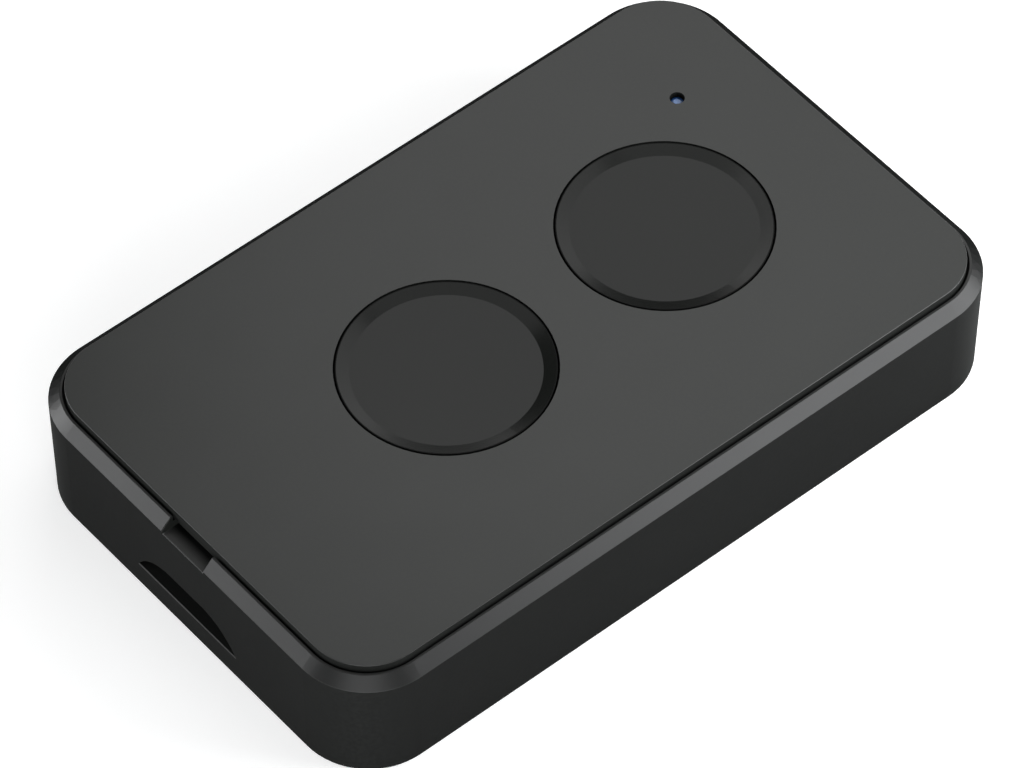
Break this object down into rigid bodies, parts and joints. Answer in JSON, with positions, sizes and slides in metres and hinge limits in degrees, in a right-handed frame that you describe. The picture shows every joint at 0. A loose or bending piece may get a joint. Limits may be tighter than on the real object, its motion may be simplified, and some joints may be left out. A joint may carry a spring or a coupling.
{
  "type": "gate remote control",
  "caption": "Flat rectangular gate remote control with dished round push buttons in an inset cover, a pinhole status light, a pry notch and a lanyard slot in one end.",
  "frame": {"origin": "middle of the flat back, which the object lies on", "axes": "+Z out of the button face, +Y along the length towards the status light, +X across the width"},
  "size_m": [0.036, 0.058, 0.0101],
  "materials": {
    "case_plastic": "fine satin texture, near black",
    "cover_plastic": "smooth satin, near black",
    "button_plastic": "smooth satin, a shade darker than the cover",
    "retainer_plastic": "satin",
    "light_pipe_plastic": "polished blue acrylic",
    "board_laminate": "green solder mask over glass fibre",
    "screw_steel": "zinc plated",
    "switch_plastic": "moulded black",
    "switch_steel": "bright stamped steel",
    "plunger_plastic": "natural moulded plastic",
    "dome_steel": "spring steel",
    "tinned_metal": "tin plated",
    "cell_steel": "nickel plated",
    "seal_plastic": "moulded nylon",
    "contact_metal": "nickel plated spring strip",
    "chip_plastic": "moulded epoxy",
    "crystal_ceramic": "fired ceramic",
    "crystal_metal": "plated lid",
    "led_plastic": "white moulded body",
    "led_resin": "clear blue tinted resin",
    "copper": "etched copper",
    "capacitor_ceramic": "tan ceramic",
    "resistor_film": "black glaze"
  },
  "bodies": {
    "case": {"rear_shell": "case_plastic", "circuit_board": "board_laminate", "board_screws": "screw_steel", "upper_switch_base": "switch_plastic", "lower_switch_base": "switch_plastic", "upper_switch_frame": "switch_steel", "lower_switch_frame": "switch_steel", "upper_switch_dome": "dome_steel", "lower_switch_dome": "dome_steel", "switch_terminals": "tinned_metal", "chip_terminals": "tinned_metal", "microcontroller_leads": "tinned_metal", "radio_chip_leads": "tinned_metal", "cell_can": "cell_steel", "cell_cap": "cell_steel", "cell_seal": "seal_plastic", "battery_clip": "contact_metal", "battery_contact": "contact_metal", "microcontroller": "chip_plastic", "radio_chip": "chip_plastic", "crystal_base": "crystal_ceramic", "crystal_lid": "crystal_metal", "status_led": "led_plastic", "status_led_lens": "led_resin", "loop_antenna": "copper", "capacitors": "capacitor_ceramic", "resistors": "resistor_film"},
    "cover": {"front_cover": "cover_plastic", "button_retainer": "retainer_plastic", "light_pipe": "light_pipe_plastic"},
    "upper_cap": {"upper_button": "button_plastic"},
    "lower_cap": {"lower_button": "button_plastic"},
    "upper_plunger": {"upper_switch_plunger": "plunger_plastic"},
    "lower_plunger": {"lower_switch_plunger": "plunger_plastic"}
  },
  "joints": [
    {"name": "cover_lift", "type": "slide", "parent": "case", "child": "cover", "axis": [0, 0, 1], "range_m": [0, 0.015]},
    {"name": "upper_button_press", "type": "slide", "parent": "cover", "child": "upper_cap", "axis": [0, 0, -1], "range_m": [0, 0.0003], "stiffness_N_per_m": 4000},
    {"name": "upper_plunger_press", "type": "slide", "parent": "case", "child": "upper_plunger", "axis": [0, 0, -1], "range_m": [0, 0.0003], "deforming": ["upper_switch_dome"]},
    {"name": "lower_button_press", "type": "slide", "parent": "cover", "child": "lower_cap", "axis": [0, 0, -1], "range_m": [0, 0.0003], "stiffness_N_per_m": 4000},
    {"name": "lower_plunger_press", "type": "slide", "parent": "case", "child": "lower_plunger", "axis": [0, 0, -1], "range_m": [0, 0.0003], "deforming": ["lower_switch_dome"]}
  ],
  "couplings": [
    {"joint": "upper_plunger_press", "follows": "upper_button_press", "ratio": 1},
    {"joint": "lower_plunger_press", "follows": "lower_button_press", "ratio": 1}
  ]
}
